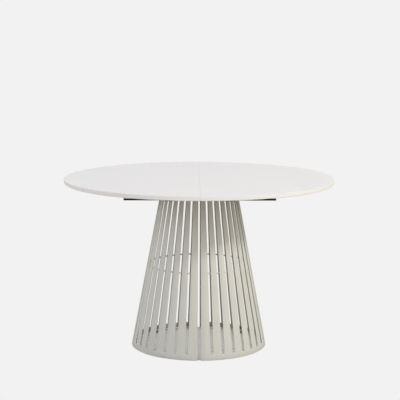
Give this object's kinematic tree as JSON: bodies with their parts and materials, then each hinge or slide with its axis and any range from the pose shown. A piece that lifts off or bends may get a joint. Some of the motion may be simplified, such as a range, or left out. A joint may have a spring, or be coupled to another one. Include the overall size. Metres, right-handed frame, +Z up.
{
  "type": "extendable dining table",
  "caption": "Round dining table on a slatted steel cone. Top and base part along one seam and roll outwards on rails that carry a folded leaf.",
  "frame": {"origin": "on the floor under the middle of the closed table", "axes": "+Z up; +X along the extension, from the left half to the right half; -Y towards the front"},
  "size_m": [1.1998, 1.2, 0.758],
  "materials": {
    "top_lacquer": "off-white lacquered board, fine matt texture",
    "sage_coat": "pale grey-green powder coat, matt",
    "zinc_steel": "zinc plated",
    "black_coat": "black powder coat, matt",
    "beech": "plain sanded beech",
    "runner_lacquer": "off-white lacquered hardwood",
    "nylon": "natural white nylon",
    "black_plastic": "moulded, fine grain",
    "rubber": "matt"
  },
  "bodies": {
    "guide_frame": {"guide_rail_front": "black_coat", "guide_rail_rear": "black_coat", "rail_end_caps": "black_plastic", "rail_bumpers": "rubber", "leaf_cradle_left": "black_coat", "leaf_cradle_right": "black_coat", "cradle_screws": "zinc_steel", "leaf_panel_lower": "top_lacquer", "leaf_panel_upper": "top_lacquer", "leaf_hinges": "zinc_steel"},
    "left_half": {"top_left": "top_lacquer", "base_shell_left": "sage_coat", "hoop_left": "sage_coat", "neck_plate_left": "sage_coat", "arm_left_front": "black_coat", "arm_left_rear": "black_coat", "spacer_block_left_front": "beech", "spacer_block_left_rear": "beech", "runner_left_front": "runner_lacquer", "runner_left_rear": "runner_lacquer", "roller_axles_left": "zinc_steel", "foot_tabs_left": "sage_coat", "glides_left": "black_plastic", "glide_nuts_left": "zinc_steel", "arm_bolts_left": "zinc_steel", "block_screws_left": "zinc_steel", "runner_screws_left": "zinc_steel", "latch_pivots": "zinc_steel"},
    "right_half": {"top_right": "top_lacquer", "base_shell_right": "sage_coat", "hoop_right": "sage_coat", "neck_plate_right": "sage_coat", "arm_right_front": "black_coat", "arm_right_rear": "black_coat", "spacer_block_right_front": "beech", "spacer_block_right_rear": "beech", "runner_right_front": "runner_lacquer", "runner_right_rear": "runner_lacquer", "roller_axles_right": "zinc_steel", "foot_tabs_right": "sage_coat", "glides_right": "black_plastic", "glide_nuts_right": "zinc_steel", "arm_bolts_right": "zinc_steel", "block_screws_right": "zinc_steel", "runner_screws_right": "zinc_steel", "latch_keepers": "zinc_steel", "seam_dowels": "beech"},
    "latch_front": {"latch_lever_front": "black_coat"},
    "latch_rear": {"latch_lever_rear": "black_coat"},
    "roller_left_front_inner_wheel": {"roller_left_front_inner": "nylon"},
    "roller_left_front_outer_wheel": {"roller_left_front_outer": "nylon"},
    "roller_left_rear_inner_wheel": {"roller_left_rear_inner": "nylon"},
    "roller_left_rear_outer_wheel": {"roller_left_rear_outer": "nylon"},
    "roller_right_front_inner_wheel": {"roller_right_front_inner": "nylon"},
    "roller_right_front_outer_wheel": {"roller_right_front_outer": "nylon"},
    "roller_right_rear_inner_wheel": {"roller_right_rear_inner": "nylon"},
    "roller_right_rear_outer_wheel": {"roller_right_rear_outer": "nylon"}
  },
  "joints": [
    {"name": "left_half_slide", "type": "slide", "parent": "guide_frame", "child": "left_half", "axis": [-1, 0, 0], "range_m": [0, 0.2]},
    {"name": "right_half_slide", "type": "slide", "parent": "guide_frame", "child": "right_half", "axis": [1, 0, 0], "range_m": [0, 0.2]},
    {"name": "latch_front_turn", "type": "hinge", "parent": "left_half", "child": "latch_front", "pos_m": [-0.02, -0.44, 0.732], "axis": [0, 0, 1], "range_deg": [0, 90]},
    {"name": "latch_rear_turn", "type": "hinge", "parent": "left_half", "child": "latch_rear", "pos_m": [-0.02, 0.44, 0.732], "axis": [0, 0, 1], "range_deg": [0, 90]},
    {"name": "roller_left_front_inner_spin", "type": "hinge", "parent": "left_half", "child": "roller_left_front_inner_wheel", "pos_m": [-0.03, -0.325, 0.72025], "axis": [0, -1, 0], "continuous": true},
    {"name": "roller_left_front_outer_spin", "type": "hinge", "parent": "left_half", "child": "roller_left_front_outer_wheel", "pos_m": [-0.1, -0.325, 0.72025], "axis": [0, -1, 0], "continuous": true},
    {"name": "roller_left_rear_inner_spin", "type": "hinge", "parent": "left_half", "child": "roller_left_rear_inner_wheel", "pos_m": [-0.03, 0.325, 0.72025], "axis": [0, -1, 0], "continuous": true},
    {"name": "roller_left_rear_outer_spin", "type": "hinge", "parent": "left_half", "child": "roller_left_rear_outer_wheel", "pos_m": [-0.1, 0.325, 0.72025], "axis": [0, -1, 0], "continuous": true},
    {"name": "roller_right_front_inner_spin", "type": "hinge", "parent": "right_half", "child": "roller_right_front_inner_wheel", "pos_m": [0.03, -0.325, 0.72025], "axis": [0, 1, 0], "continuous": true},
    {"name": "roller_right_front_outer_spin", "type": "hinge", "parent": "right_half", "child": "roller_right_front_outer_wheel", "pos_m": [0.1, -0.325, 0.72025], "axis": [0, 1, 0], "continuous": true},
    {"name": "roller_right_rear_inner_spin", "type": "hinge", "parent": "right_half", "child": "roller_right_rear_inner_wheel", "pos_m": [0.03, 0.325, 0.72025], "axis": [0, 1, 0], "continuous": true},
    {"name": "roller_right_rear_outer_spin", "type": "hinge", "parent": "right_half", "child": "roller_right_rear_outer_wheel", "pos_m": [0.1, 0.325, 0.72025], "axis": [0, 1, 0], "continuous": true}
  ],
  "couplings": [
    {"joint": "roller_left_front_inner_spin", "follows": "left_half_slide", "rad_per_m": 70.922},
    {"joint": "roller_left_front_outer_spin", "follows": "left_half_slide", "rad_per_m": 70.922},
    {"joint": "roller_left_rear_inner_spin", "follows": "left_half_slide", "rad_per_m": 70.922},
    {"joint": "roller_left_rear_outer_spin", "follows": "left_half_slide", "rad_per_m": 70.922},
    {"joint": "roller_right_front_inner_spin", "follows": "right_half_slide", "rad_per_m": 70.922},
    {"joint": "roller_right_front_outer_spin", "follows": "right_half_slide", "rad_per_m": 70.922},
    {"joint": "roller_right_rear_inner_spin", "follows": "right_half_slide", "rad_per_m": 70.922},
    {"joint": "roller_right_rear_outer_spin", "follows": "right_half_slide", "rad_per_m": 70.922}
  ]
}
